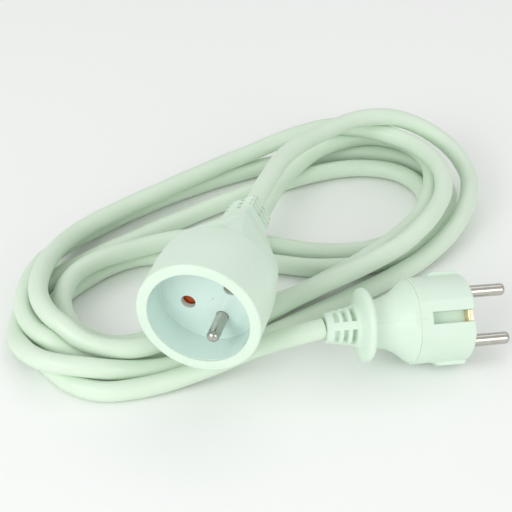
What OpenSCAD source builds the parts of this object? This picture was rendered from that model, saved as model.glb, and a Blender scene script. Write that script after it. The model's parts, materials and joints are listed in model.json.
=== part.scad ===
// Household extension cord: a moulded coupler outlet with an earth pin, a round three-core cord
// lying in five loose loops, and a moulded plug with two round pins. Millimetres.
// The origin is the centre of the outlet's well floor; the well opens towards -Y.

/* [Outlet] */
// Inside diameter of the well
well_d = 39; // [38.6:0.1:39.4]
// Depth of the well from rim to floor
well_depth = 14.5; // [14.2:0.1:15.5]
// Outside diameter of the rim
rim_d = 47.5; // [46.5:0.5:48]
// Thickness of the well floor
well_floor_t = 2.6; // [2.4:0.1:2.8]
// Diameter of the two pole holes
pole_hole_d = 5.5; // [5.2:0.1:5.8]
// Distance from the pole line to the earth pin
earth_offset = 10; // [9.8:0.1:10.2]
// Length of the earth pin above the well floor
earth_pin_len = 14; // [13.5:0.1:14.1]
// Turn of the outlet about its own axis
outlet_roll = 29; // [0:1:45]
// Height of the outlet's axis above the surface the cord lies on
axis_height = 40.5; // [40.5:0.1:41]

/* [Shutter] */
// Thickness of the shutter
shutter_t = 1.8; // [1.4:0.1:2]
// Width of a shutter blade
blade_w = 6.8; // [6.6:0.1:7]

/* [Pins] */
// Distance between the two poles
pole_pitch = 19; // [18.9:0.1:19.1]
// Diameter of every contact pin
pin_d = 4.8; // [4.7:0.1:4.8]
// Length of the plug's pins in front of its face
pin_len = 19; // [18.5:0.5:19]

/* [Plug] */
// Diameter of the plug's front part
front_d = 33.6; // [33:0.2:34]
// Thickness of the plug's front part across its flats
front_t = 30.8; // [30.6:0.1:31]
// Length of the plug's front part
front_len = 22; // [21:0.5:22]
// Diameter of the finger collar
collar_d = 28.6; // [27:0.2:30]
// Length of the plug from its face to the end of the strain relief
plug_len = 55.6; // [55:0.1:56]
// Width of the earth clip's slot
clip_slot_w = 4.6; // [4.4:0.1:4.8]

/* [Cord] */
// Diameter of the cord's sheath
cord_d = 8; // [8:0.1:8.2]
// Diameter of each insulated core
core_d = 2.8; // [2.4:0.1:3]

/* [Hidden] */
$fn = 64;

shell_white = [0.88, 0.93, 0.88];
well_white = [0.80, 0.90, 0.87];
hidden_grey = [0.55, 0.57, 0.58];
shutter_red = [0.70, 0.13, 0.05];
nickel = [0.78, 0.76, 0.70];
brass_tan = [0.86, 0.70, 0.45];
live_brown = [0.35, 0.20, 0.12];
neutral_blue = [0.20, 0.40, 0.75];
earth_green = [0.45, 0.70, 0.20];

pole = pole_pitch / 2;
pin_r = pin_d / 2;
contact_r = pin_r + 0.05;      // bore of every contact sleeve
sleeve_r = pin_r + 0.8;        // outside of every contact sleeve
root_r = pin_r + 0.5;          // buried root of a pin, thicker than its free part
seat_gap = 0.02;               // play between a buried pin or sleeve and its seat
eps = 0.01;

// outlet, measured along its axis from the well floor towards the cord
well_r = well_d / 2;
insert_r = well_r + 1.3;
rim_lip = 1.2;                 // depth of the rim in front of the insert
cavity_t = 3.4;                // shutter space behind the well floor
carrier_z = well_floor_t + cavity_t;
carrier_t = 7;
carrier_back = carrier_z + carrier_t;
tail_z = 24;                   // back of the contact chamber
chamber_r = 14.2;
wire_r = 11;                    // wire space in the square back
wire_back = 34;
back_start = 12.5;             // the round cup ends here and narrows to a square
square_back = 31.5;
square_half = 13.4;            // half the side of the square back
neck_front = 46.5;
neck_half = 6.9;
neck_back = 58;
neck_end_half = 6.2;
round_profile = [[-well_depth, rim_d / 2], [2, rim_d / 2 - 0.2], [9, rim_d / 2 - 0.7], [back_start, rim_d / 2 - 1.4]];
neck_rows = [49.5, 52.3, 55.1];
slot_t = 1.3;

shutter_z = well_floor_t + 0.8;
shutter_pin_r = 1.5;
shutter_play = 0.06;
shutter_open = 42;
stop_lead = 23;                // angle from a blade's middle to its stop
spring_pocket_r = 5;
spring_pocket_t = 4;
spring_r = 3.2;
spring_wire_r = 0.4;

// plug, measured along its axis from its face; local +Z points out along the pins
plug_face = [88.7, 42.4, 16.7 - axis_height];
plug_heading = 29;
plug_droop = 5;
plug_roll = -40.5;
plug_dir = [cos(plug_droop) * cos(plug_heading), cos(plug_droop) * sin(plug_heading), -sin(plug_droop)];
plug_tail = plug_face - plug_len * plug_dir;
bridge_t = 11;                 // solid nose that holds the pins
grip_profile = [[front_len, front_d / 2 - 0.4], [24, 15.4], [26, 13.6], [28, 12], [30, 10.8], [32, 10], [35, 9.3],
    [37.5, 9.2], [38.1, 12.6], [39, collar_d / 2], [40.8, collar_d / 2], [42.3, 12.8], [43.1, 9.4], [43.6, 7.9],
    [plug_len, 5.6]];
relief_rows = [45.4, 48.7, 52];
relief_slot_t = 1.8;
relief_core_r = 4.7;
near_slot_floor = 10.8;        // slot on the side away from the earth sleeve
far_slot_floor = 13.9;
slot_len = 17;
clip_t = 0.8;
sleeve_mouth = 0.85;           // earth sleeve, from its mouth to the end of its tail
sleeve_len = 15;
sleeve_tail = 1.5;
sleeve_end = sleeve_mouth + sleeve_len + sleeve_tail;

// The cord's route: x, y and height above the surface it lies on, from outlet to plug
cord_route = [
    // over the whole coil and round its right end
    [0, 58, axis_height], [0, 76, 40], [2, 111, 37], [11, 136, 33], [24, 157, 31], [35, 167, 28], [50, 174, 21],
    [65, 169, 15], [75, 156, 12], [79, 136, 12], [76, 112, 9], [65, 90, 5], [44, 62, 4], [21, 33, 4], [5, 14, 4],
    // first loop, outermost on the left
    [-14, 0, 4], [-25, -7, 4], [-41, -19, 12], [-60, -21, 12], [-74, -12, 9], [-82, 3, 5], [-85, 20, 4],
    [-80, 40, 4], [-57, 75, 4], [-22, 120, 4], [-4, 138, 4], [14, 153, 4], [36, 160, 4], [53, 153, 4],
    [61, 137, 4], [60, 117, 4], [48, 98, 4], [28, 87, 4],
    // second loop, innermost on the left
    [-11, 85, 5], [-36, 69, 12], [-52, 57, 12], [-65, 45, 12], [-71, 31, 12], [-69, 17, 11], [-62, 7, 8],
    [-50, 2, 5], [-37, 4, 4], [-14, 34, 4], [-7, 76, 12], [-4, 130, 12], [8, 160, 12], [26, 174, 12],
    [44, 172, 12], [58, 156, 12], [62, 130, 12], [58, 105, 12], [45, 78, 12], [26, 61, 5], [14, 48, 4],
    // third loop, on top on the left
    [-5, 25, 12], [-25, -3, 12], [-40, -8, 12], [-55, -7, 15], [-70, 2, 20], [-78, 20, 19], [-79, 57, 14],
    [-58, 97, 12], [-24, 144, 12], [-6, 160, 16], [12, 166, 20], [44, 162, 20], [62, 147, 20], [69, 124, 20],
    [66, 100, 20], [56, 78, 18], [23, 45, 12],
    // fourth loop
    [6, 30, 6], [-19, 8, 4], [-32, -1, 4], [-48, -7, 4], [-61, -9, 11], [-72, -4, 12], [-81, 8, 12],
    [-86, 36, 11], [-84, 62, 5], [-60, 103, 4], [-24, 142, 4], [2, 161, 4], [30, 173, 4], [55, 166, 4],
    [70, 144, 4], [69, 118, 4], [56, 92, 4], [28, 76, 4],
    // fifth loop, on the surface, and up to the plug
    [-11, 73, 4], [-38, 68, 4], [-54, 63, 4], [-73, 31, 4], [-75, 14, 4], [-68, -5, 4], [-54, -20, 4],
    [-37, -24, 4], [-16, -12, 4], [1, 0, 7], [8, 5, 9.5], [18, 9, 14], [26, 10.5, 18], [33, 11.5, 20.5]];
cord_points = [for (p = concat(cord_route, [plug_tail + [0, 0, axis_height]])) p - [0, 0, axis_height]];
tube_sides = 8;

function unit(v) = v / norm(v);

// ---------- helpers ----------

// Places a child drawn along +Z, seen from the well floor, on the outlet's axis
module on_outlet() { rotate([0, -outlet_roll, 0]) rotate([-90, 0, 0]) children(); }

// Places a child whose pins point along +Z on the plug
module on_plug() {
    translate(plug_face) rotate([0, 0, plug_heading]) rotate([0, plug_droop, 0]) rotate([0, 90, 0])
        rotate([0, 0, plug_roll]) children();
}

// A round bar from z0 to z1
module bar(r, z0, z1) { translate([0, 0, z0]) cylinder(r = r, h = z1 - z0); }

// A body of revolution from [z, r] stations
module turned(stations) {
    last = len(stations) - 1;
    rotate_extrude($fn = 96)
        polygon(concat([[0, stations[0][0]]], [for (s = stations) [s[1], s[0]]], [[0, stations[last][0]]]));
}

// A square bar that tapers between two half sides
module square_taper(z0, half0, z1, half1) {
    hull() {
        translate([-half0, -half0, z0]) cube([2 * half0, 2 * half0, eps]);
        translate([-half1, -half1, z1 - eps]) cube([2 * half1, 2 * half1, eps]);
    }
}

// A pin along +Z: buried root, free shank from z = 0, rounded end
module contact_pin(free_len, root_len) {
    nose = 1.8;
    bar(root_r, -root_len, 0);
    bar(pin_r, 0, free_len - nose);
    translate([0, 0, free_len - nose]) rotate_extrude()
        polygon(concat([[0, 0]], [for (a = [0:15:90]) [pin_r - 1 + cos(a), nose * sin(a)]], [[0, nose]]));
}

// A split contact sleeve along +Z whose mouth is at z = 0 and whose solder tail points back
module contact_sleeve(length, tail) {
    difference() {
        bar(sleeve_r, -length, 0);
        bar(contact_r, -length + 1.5, eps);
        for (turn = [0, 90])
            rotate([0, 0, turn]) translate([-sleeve_r, -0.35, -length * 0.6]) cube([2 * sleeve_r, 0.7, length]);
    }
    bar(1.5, -length - tail, -length + eps);
}

// A tube with flat ends swept through points; ref is a direction that it never runs along
module swept_tube(points, d, first_dir, last_dir, sides, ref = [0, 0, 1]) {
    n = len(points);
    along = [for (i = [0:n - 1]) i == 0 ? first_dir : i == n - 1 ? last_dir : unit(points[i + 1] - points[i - 1])];
    verts = [for (i = [0:n - 1]) let(side = unit(cross(along[i], ref)), up = cross(side, along[i]))
        for (k = [0:sides - 1]) let(a = 90 + 360 * k / sides)
            points[i] + d / 2 * (cos(a) * side + sin(a) * up)];
    walls = [for (i = [0:n - 2]) for (k = [0:sides - 1]) let(m = (k + 1) % sides)
        [i * sides + k, (i + 1) * sides + k, (i + 1) * sides + m, i * sides + m]];
    first_cap = [for (k = [0:sides - 1]) k];
    last_cap = [for (k = [sides - 1:-1:0]) (n - 1) * sides + k];
    polyhedron(points = verts, faces = concat(walls, [first_cap, last_cap]));
}

// ---------- outlet ----------

// Short flexing slots across the four faces of the square neck, two in each row
module neck_slots() {
    for (face = [0:90:270]) for (z = neck_rows) for (side = [-1, 1])
        rotate([0, 0, face]) translate([side * 2.9 - 2.1, neck_end_half - 1.1, z]) cube([4.2, 3, slot_t]);
}

// Overmoulded body: round front, square pyramid back and slotted neck in one piece
module socket_shell() {
    color(shell_white) on_outlet() difference() {
        union() {
            turned(round_profile);
            hull() {
                translate([0, 0, back_start - eps]) cylinder(r = rim_d / 2 - 1.6, h = eps, $fn = 64);
                translate([-square_half, -square_half, square_back - eps])
                    cube([2 * square_half, 2 * square_half, eps]);
            }
            square_taper(square_back - eps, square_half, neck_front, neck_half);
            square_taper(neck_front - eps, neck_half, neck_back, neck_end_half);
        }
        bar(well_r, -well_depth - 1, 0);
        bar(insert_r + 0.05, -well_depth + rim_lip, carrier_back + 0.05);
        bar(chamber_r, carrier_back, tail_z);
        bar(wire_r, tail_z - eps, square_back);
        bar(cord_d / 2 + seat_gap, square_back - eps, neck_back + 1);
        neck_slots();
    }
}

// Glossy well: a cup with the two pole holes, the earth pin's seat and the shutter pivot's seat
module socket_insert() {
    color(well_white) on_outlet() difference() {
        bar(insert_r, -well_depth + rim_lip, well_floor_t);
        bar(well_r, -well_depth, 0);
        for (side = [-1, 1]) translate([side * pole, 0, 0]) bar(pole_hole_d / 2, -1, well_floor_t + 1);
        translate([0, earth_offset, 0]) bar(root_r + seat_gap, -1, well_floor_t + 1);
        bar(shutter_pin_r + seat_gap, well_floor_t - 1.2, well_floor_t + 1);
    }
}

// Contact carrier behind the shutter, with the shutter's two stops
module socket_carrier() {
    color(hidden_grey) on_outlet() difference() {
        union() {
            bar(insert_r, carrier_z, carrier_back);
            difference() {
                bar(insert_r, well_floor_t + eps, carrier_z + eps);
                bar(insert_r - 2, well_floor_t, carrier_z + 1);
            }
            for (a = [-stop_lead, 180 + shutter_open + stop_lead])
                rotate([0, 0, a]) translate([12, 0, 0]) bar(0.9, shutter_z - 0.3, carrier_z + eps);
        }
        for (side = [-1, 1]) translate([side * pole, 0, 0]) bar(sleeve_r + seat_gap, carrier_z - 1, carrier_back + 1);
        translate([0, earth_offset, 0]) bar(root_r + seat_gap, carrier_z - 1, carrier_back + 1);
        bar(spring_pocket_r, carrier_z - 1, carrier_z + spring_pocket_t);
        bar(shutter_pin_r + seat_gap, carrier_z, carrier_back - 1);
    }
}

// Two-bladed shutter that turns about the outlet's axis; pushing both ramps opens it
module shutter() {
    color(shutter_red) on_outlet() difference() {
        translate([0, 0, shutter_z]) linear_extrude(shutter_t) {
            square([2 * pole, blade_w], center = true);
            for (side = [-1, 1]) translate([side * pole, 0]) circle(d = blade_w);
            circle(r = 4.4);
        }
        bar(shutter_pin_r + shutter_play, shutter_z - 1, shutter_z + shutter_t + 1);
        for (turn = [0, 180])
            rotate([0, 0, turn]) translate([5.4, -blade_w / 2 - 0.9, shutter_z - 1.3]) rotate([40, 0, 0])
                cube([9, 3, 1.4]);
    }
}

// Steel pivot of the shutter
module shutter_pin() {
    color(nickel) on_outlet() bar(shutter_pin_r, well_floor_t - 1.15, carrier_back - 1.05);
}

// Return spring of the shutter, wound around the pivot, with a straight leg at each end
module shutter_spring() {
    steps = 12;
    pitch = 0.95;
    leg = 2.2;
    z0 = carrier_z + 0.6;
    coil = [for (i = [0:steps * 3]) let(a = 360 * i / steps)
        [spring_r * cos(a), spring_r * sin(a), z0 + pitch * i / steps]];
    legs_on = concat([coil[0] - [0, leg, 0]], coil, [coil[len(coil) - 1] + [0, leg, 0]]);
    color(nickel) on_outlet()
        swept_tube(legs_on, 2 * spring_wire_r, [0, 1, 0], [0, 1, 0], 6);
}

// A split sleeve that takes a plug pin, behind one pole hole
module socket_contact(side) {
    color(brass_tan) on_outlet() translate([side * pole, 0, carrier_z + 0.5]) rotate([180, 0, 0])
        contact_sleeve(14, 2);
}
module socket_live_contact() { socket_contact(-1); }
module socket_neutral_contact() { socket_contact(1); }

// Nickel-plated earth pin standing in the well
module socket_earth_pin() {
    color(nickel) on_outlet() translate([0, earth_offset, 0]) rotate([180, 0, 0])
        contact_pin(earth_pin_len, carrier_back + 2);
}

// End of the cord's sheath, moulded into the neck
module socket_sheath_end() { color(shell_white) on_outlet() bar(cord_d / 2, wire_back, neck_back); }

// One insulated core from a contact's tail to the sheath
module socket_core(tint, start, lane) {
    bend = [lane.x, lane.y, tail_z + 4];
    color(tint) on_outlet() swept_tube([start, start + [0, 0, 0.5], bend, [lane.x, lane.y, wire_back]], core_d,
        [0, 0, 1], [0, 0, 1], tube_sides, [0, 1, 0]);
}
core_lane = 2.1;               // distance of each core from the cord's axis
tail_end = carrier_z + 0.5 + 14 + 2;
module socket_live_core() { socket_core(live_brown, [-pole, 0, tail_end], [-core_lane, -0.9, 0]); }
module socket_neutral_core() { socket_core(neutral_blue, [pole, 0, tail_end], [core_lane, -0.9, 0]); }
module socket_earth_core() { socket_core(earth_green, [0, earth_offset, carrier_back + 2], [0, core_lane, 0]); }

// ---------- cord ----------

// Round sheath from the outlet's neck to the plug's strain relief
module cord() { color(shell_white) swept_tube(cord_points, cord_d, [0, 1, 0], plug_dir, tube_sides); }

// ---------- plug ----------

// Front part: flats, guide ribs, pin seats and the slots of the two earth clips
module plug_front() {
    nose = 0.8;
    rib_h = 1.3;
    rib_w = 5;
    rib_len = 12;
    color(shell_white) on_plug() difference() {
        union() {
            intersection() {
                union() {
                    bar(front_d / 2, -front_len, -nose);
                    translate([0, 0, -nose - eps]) cylinder(r1 = front_d / 2, r2 = front_d / 2 - 0.6, h = nose);
                }
                translate([-30, -front_t / 2, -30]) cube([60, front_t, 60]);
            }
            for (side = [-1, 1]) translate([side * (front_d / 2 - 2 + rib_h / 2), 0, -0.4 - rib_len / 2])
                cube([4 + rib_h, rib_w, rib_len], center = true);
        }
        for (side = [-1, 1]) translate([side * pole, 0, 0]) bar(root_r + seat_gap, -bridge_t - 1, 1);
        translate([0, earth_offset, 0]) {
            bar(sleeve_r + seat_gap, -front_len - 1, -0.8);
            bar(contact_r + 0.2, -1, 1);
        }
        translate([-clip_slot_w / 2, -front_t, -slot_len]) cube([clip_slot_w, front_t - near_slot_floor, slot_len + 1]);
        translate([-clip_slot_w / 2, far_slot_floor, -slot_len]) cube([clip_slot_w, front_t, slot_len + 1]);
        translate([-12.6, -9, -front_len - 1]) cube([25.2, 18.4, front_len - bridge_t + 1 + eps]);
        translate([-1.9, -near_slot_floor - 1, -3.5]) cube([3.8, 4, clip_t + 0.1]);
    }
}

// Rear part: waist, finger collar and slotted strain relief
module plug_grip() {
    spine_w = 3.2;
    color(shell_white) on_plug() mirror([0, 0, 1]) difference() {
        intersection() {
            turned(grip_profile);
            translate([-30, -front_t / 2, 0]) cube([60, front_t, 90]);
        }
        bar(11, front_len - 1, 25);
        bar(7.5, 25 - eps, 30);
        bar(cord_d / 2 + seat_gap, 30 - eps, plug_len + 1);
        for (z = relief_rows) difference() {
            bar(12, z - relief_slot_t / 2, z + relief_slot_t / 2);
            bar(relief_core_r, z - 2, z + 2);
            for (turn = [0, 90])
                rotate([0, 0, turn]) translate([-15, -spine_w / 2, z - 2]) cube([30, spine_w, 4]);
        }
    }
}

// A solid round pin of the plug, with its root in the nose
module plug_pin(side) {
    color(nickel) on_plug() translate([side * pole, 0, 0]) contact_pin(pin_len, bridge_t + 2);
}
module plug_live_pin() { plug_pin(-1); }
module plug_neutral_pin() { plug_pin(1); }

// Sleeve that takes an outlet's earth pin
module plug_earth_sleeve() {
    color(brass_tan) on_plug() translate([0, earth_offset, -sleeve_mouth]) contact_sleeve(sleeve_len, sleeve_tail);
}

// Bent earth strip in the slot away from the sleeve: only its front tab shows
module plug_near_clip() {
    color(brass_tan) on_plug() {
        translate([-2.1, -front_t / 2 + 0.6, -3.4]) cube([4.2, clip_t, 2.6]);
        translate([-1.8, -front_t / 2 + 0.6, -3.4]) cube([3.6, front_t / 2 - 0.6 - 7.9, clip_t - 0.05]);
    }
}

// Earth strip lying in the slot over the sleeve
module plug_far_clip() {
    color(brass_tan) on_plug() translate([-2.1, far_slot_floor + 0.02, -slot_len + 0.5])
        cube([4.2, clip_t, slot_len - 1]);
}

// End of the cord's sheath, moulded into the strain relief
module plug_sheath_end() { color(shell_white) on_plug() bar(cord_d / 2, -plug_len, -30.5); }

// One insulated core from a contact to the sheath
module plug_core(tint, start, lane) {
    bend = [lane.x * 1.6, lane.y * 1.6, -26];
    color(tint) on_plug() swept_tube([start, start - [0, 0, 0.5], bend, [lane.x, lane.y, -30.5]], core_d,
        [0, 0, -1], [0, 0, -1], tube_sides, [0, 1, 0]);
}
module plug_live_core() { plug_core(live_brown, [-pole, 0, -bridge_t - 2], [-core_lane, -0.9, 0]); }
module plug_neutral_core() { plug_core(neutral_blue, [pole, 0, -bridge_t - 2], [core_lane, -0.9, 0]); }
module plug_earth_core() { plug_core(earth_green, [0, earth_offset, -sleeve_end], [0, core_lane, 0]); }

socket_shell();
socket_insert();
socket_carrier();
shutter();
shutter_pin();
shutter_spring();
socket_live_contact();
socket_neutral_contact();
socket_earth_pin();
socket_sheath_end();
socket_live_core();
socket_neutral_core();
socket_earth_core();
cord();
plug_front();
plug_grip();
plug_live_pin();
plug_neutral_pin();
plug_earth_sleeve();
plug_near_clip();
plug_far_clip();
plug_sheath_end();
plug_live_core();
plug_neutral_core();
plug_earth_core();
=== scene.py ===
"""Looks of the household extension cord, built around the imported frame.

The coupler outlet and the plug are modelled in their own frames, in millimetres, with their axes
along +Z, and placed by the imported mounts. The cord and the camera are in the row frame, in metres."""

import json
import math

import bmesh
import bpy
import numpy as np
from mathutils import Matrix, Vector, kdtree
from mathutils.geometry import tessellate_polygon


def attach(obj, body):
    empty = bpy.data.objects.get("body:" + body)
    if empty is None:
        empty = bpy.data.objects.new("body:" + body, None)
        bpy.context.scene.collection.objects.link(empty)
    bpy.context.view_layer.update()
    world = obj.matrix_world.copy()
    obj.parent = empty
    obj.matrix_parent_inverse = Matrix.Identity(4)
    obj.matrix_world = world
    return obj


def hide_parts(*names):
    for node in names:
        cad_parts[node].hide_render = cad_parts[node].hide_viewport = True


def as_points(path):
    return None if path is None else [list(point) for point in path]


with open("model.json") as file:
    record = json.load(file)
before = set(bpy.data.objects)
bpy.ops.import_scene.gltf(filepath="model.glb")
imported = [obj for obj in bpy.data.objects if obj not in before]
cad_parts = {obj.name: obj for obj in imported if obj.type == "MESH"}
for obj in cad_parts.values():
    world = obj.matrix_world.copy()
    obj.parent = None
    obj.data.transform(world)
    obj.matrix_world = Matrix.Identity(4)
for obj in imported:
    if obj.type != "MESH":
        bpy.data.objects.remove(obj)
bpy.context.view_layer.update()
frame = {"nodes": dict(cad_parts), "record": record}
BODY = "cord_set"
MM = 0.001
CORD_D = 8
surface_z = -0.0405  # what the cord lies on, below the outlet's axis

mounts = {m["name"]: m for m in frame["record"]["mounts"]}


def interface_frame(live, neutral, axis):
    """Matrix from a local frame in mm, with +X from live to neutral and +Z along axis, to the row frame."""
    live, neutral, z = Vector(live), Vector(neutral), Vector(axis).normalized()
    x = (neutral - live).normalized()
    y = z.cross(x)
    turn = Matrix((x, y, z)).transposed().to_4x4()
    return Matrix.Translation((live + neutral) / 2) @ turn @ Matrix.Scale(MM, 4)


def at_floor(name):
    """A pole's place on the well floor, where y is 0."""
    place = mounts[name]["pos_m"]
    return (place[0], 0, place[2])


ON_OUTLET = interface_frame(at_floor("outlet_live"), at_floor("outlet_neutral"), (0, 1, 0))
PLUG_LIVE, PLUG_NEUTRAL = mounts["plug_live"], mounts["plug_neutral"]
ON_PLUG = interface_frame(PLUG_LIVE["pos_m"], PLUG_NEUTRAL["pos_m"], PLUG_LIVE["axis"])
POLE = 9.5
EARTH_OFFSET = 10
PIN_R = 2.4


# ---------- numbers ----------


def smooth_max(a, b, width):
    """The larger of a and b, with a fillet about as wide as width where they cross."""
    near = max(width - abs(a - b), 0) / width
    return max(a, b) + near * near * width / 4


def smooth_min(a, b, width):
    return -smooth_max(-a, -b, width)


def step(edge0, edge1, x):
    """0 before edge0, 1 after edge1 and an S-curve between them."""
    t = min(max((x - edge0) / (edge1 - edge0), 0), 1)
    return t * t * (3 - 2 * t)


def soft_step(edge, soft, x):
    """0 before edge and 1 after it, with an S-curve that reaches soft to either side."""
    return step(edge - soft, edge + soft, x)


def through(stations, x):
    """Smooth curve through (x, value) stations, flat beyond the ends."""
    xs = [s[0] for s in stations]
    ys = [s[1] for s in stations]
    if x <= xs[0]:
        return ys[0]
    if x >= xs[-1]:
        return ys[-1]
    i = max(k for k in range(len(xs) - 1) if xs[k] <= x)
    slopes = [(ys[k + 1] - ys[k]) / (xs[k + 1] - xs[k]) for k in range(len(xs) - 1)]

    def tangent(k):
        if k == 0 or k == len(xs) - 1:
            return slopes[min(k, len(slopes) - 1)]
        before, after = slopes[k - 1], slopes[k]
        return 0 if before * after <= 0 else 2 * before * after / (before + after)

    h = xs[i + 1] - xs[i]
    t = (x - xs[i]) / h
    return (
        ys[i] * (1 + 2 * t) * (1 - t) ** 2
        + tangent(i) * h * t * (1 - t) ** 2
        + ys[i + 1] * t * t * (3 - 2 * t)
        - tangent(i + 1) * h * t * t * (1 - t)
    )


def spread(a, b, count):
    """count values from a to b, both included."""
    return [a + (b - a) * k / (count - 1) for k in range(count)]


def round_steps(radius, count):
    """(distance along, distance short of full) pairs that round a quarter turn."""
    turns = spread(0, math.pi / 2, count)
    return [(radius * (1 - math.cos(a)), radius * (1 - math.sin(a))) for a in turns]


# ---------- meshes ----------


class Shape:
    """Vertices and faces, gathered before they become one mesh."""

    def __init__(self):
        self.verts = []
        self.faces = []

    def ring(self, points):
        start = len(self.verts)
        self.verts += [tuple(p) for p in points]
        return list(range(start, len(self.verts)))

    def skin(self, rings, closed=False):
        """Quads between successive rings of the same number of points."""
        pairs = list(zip(rings, rings[1:])) + ([(rings[-1], rings[0])] if closed else [])
        for a, b in pairs:
            n = len(a)
            self.faces += [(a[k], a[(k + 1) % n], b[(k + 1) % n], b[k]) for k in range(n)]

    def cap(self, outer, *holes):
        """Flat fill inside the ring outer and outside the rings holes."""
        loops = [outer, *holes]
        flat = [i for loop in loops for i in loop]
        corners = tessellate_polygon([[Vector(self.verts[i]) for i in loop] for loop in loops])
        self.faces += [tuple(flat[k] for k in tri) for tri in corners]

    def revolve(self, stations, sides, centre=(0, 0)):
        """Rings about a line along +Z through centre, from (z, r) stations."""
        return [
            self.ring(
                (centre[0] + r * math.cos(a), centre[1] + r * math.sin(a), z)
                for a in (2 * math.pi * k / sides for k in range(sides))
            )
            for z, r in stations
        ]


def finish_piece(name, shape, place, material, nodes=(), sharp_deg=34, merge=1e-3):
    """One object in the row frame, from a shape and its matrix, which rides on BODY and stands for nodes."""
    bm = bmesh.new()
    verts = [bm.verts.new(v) for v in shape.verts]
    bm.verts.ensure_lookup_table()
    for face in shape.faces:
        corners = [verts[i] for i in dict.fromkeys(face)]
        if len(corners) > 2 and not bm.faces.get(corners):
            bm.faces.new(corners)
    bmesh.ops.remove_doubles(bm, verts=bm.verts, dist=merge)
    bmesh.ops.dissolve_degenerate(bm, edges=bm.edges, dist=merge / 2)
    bmesh.ops.delete(bm, geom=[v for v in bm.verts if not v.link_faces], context="VERTS")
    bmesh.ops.recalc_face_normals(bm, faces=bm.faces)
    bmesh.ops.transform(bm, matrix=place, verts=bm.verts)
    mesh = bpy.data.meshes.new(name)
    bm.to_mesh(mesh)
    bm.free()
    mesh.polygons.foreach_set("use_smooth", [True] * len(mesh.polygons))
    mesh.set_sharp_from_angle(angle=math.radians(sharp_deg))
    piece = bpy.data.objects.new(name, mesh)
    bpy.context.scene.collection.objects.link(piece)
    normals = piece.modifiers.new("normals", "WEIGHTED_NORMAL")
    normals.keep_sharp = True
    mesh.materials.append(material)
    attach(piece, BODY)
    if nodes:
        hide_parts(*nodes)
    return piece


# ---------- materials ----------


def new_material(name):
    """A material and its shader, node tree and object-space texture coordinate."""
    material = bpy.data.materials.new(name)
    material.use_nodes = True
    tree = material.node_tree
    shader = tree.nodes["Principled BSDF"]
    place = tree.nodes.new("ShaderNodeTexCoord").outputs["Object"]
    return material, tree, shader, place


def noise(tree, place, size_m, detail=3, stretch=None, rough=0.5):
    """Noise whose features are about size_m across, in row-frame metres."""
    node = tree.nodes.new("ShaderNodeTexNoise")
    node.inputs["Scale"].default_value = 1 / size_m
    node.inputs["Detail"].default_value = detail
    node.inputs["Roughness"].default_value = rough
    if stretch:
        mapping = tree.nodes.new("ShaderNodeMapping")
        mapping.inputs["Rotation"].default_value = stretch[0]
        mapping.inputs["Scale"].default_value = stretch[1]
        tree.links.new(place, mapping.inputs["Vector"])
        place = mapping.outputs["Vector"]
    tree.links.new(place, node.inputs["Vector"])
    return node.outputs["Fac"]


def remap(tree, value, low, high, start=0.3, end=0.7):
    """value from start..end to low..high."""
    node = tree.nodes.new("ShaderNodeMapRange")
    tree.links.new(value, node.inputs["Value"])
    for socket, number in (("From Min", start), ("From Max", end), ("To Min", low), ("To Max", high)):
        node.inputs[socket].default_value = number
    return node.outputs["Result"]


def between(tree, factor, colour_a, colour_b):
    """A colour between two, by factor."""
    node = tree.nodes.new("ShaderNodeMix")
    node.data_type = "RGBA"
    node.inputs["A"].default_value = (*colour_a, 1)
    node.inputs["B"].default_value = (*colour_b, 1)
    tree.links.new(factor, node.inputs["Factor"])
    return node.outputs["Result"]


def bump(tree, shader, heights):
    """Bumps from (height output, depth in metres) pairs, one on another."""
    normal = None
    for height, depth_m in heights:
        node = tree.nodes.new("ShaderNodeBump")
        node.inputs["Strength"].default_value = 1
        node.inputs["Distance"].default_value = depth_m
        tree.links.new(height, node.inputs["Height"])
        if normal:
            tree.links.new(normal, node.inputs["Normal"])
        normal = node.outputs["Normal"]
    tree.links.new(normal, shader.inputs["Normal"])


def plastic(name, colour, shade, rough, grain_m, grain_depth_m, gloss_coat=0):
    """Moulded plastic: slow shifts of tone, fine grain and faint flow waves."""
    flow_m = 0.012
    material, tree, shader, place = new_material(name)
    tone = remap(tree, noise(tree, place, flow_m, 4), 0, 1)
    tree.links.new(between(tree, tone, shade, colour), shader.inputs["Base Color"])
    grain = noise(tree, place, grain_m, 2)
    patches = noise(tree, place, flow_m / 4, 5)
    tree.links.new(remap(tree, patches, rough * 0.85, rough * 1.2), shader.inputs["Roughness"])
    bump(tree, shader, [(noise(tree, place, flow_m / 2, 2), grain_depth_m * 2), (grain, grain_depth_m)])
    shader.inputs["IOR"].default_value = 1.5
    shader.inputs["Coat Weight"].default_value = gloss_coat
    shader.inputs["Coat Roughness"].default_value = 0.06
    return material


def sheath(name, colour, shade):
    """Soft PVC sheath: satin, with slow waves, fine grain, scuffs and a slightly mottled tone."""
    material, tree, shader, place = new_material(name)
    tone = remap(tree, noise(tree, place, 0.03, 4), 0, 1)
    tree.links.new(between(tree, tone, shade, colour), shader.inputs["Base Color"])
    scuffs = remap(tree, noise(tree, place, 0.004, 6, rough=0.7), 0.34, 0.5)
    tree.links.new(scuffs, shader.inputs["Roughness"])
    bump(tree, shader, [(noise(tree, place, 0.006, 3), 0.00006), (noise(tree, place, 0.0005, 2), 0.000012)])
    shader.inputs["IOR"].default_value = 1.52
    shader.inputs["Sheen Weight"].default_value = 0.08
    shader.inputs["Sheen Roughness"].default_value = 0.4
    return material


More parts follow.
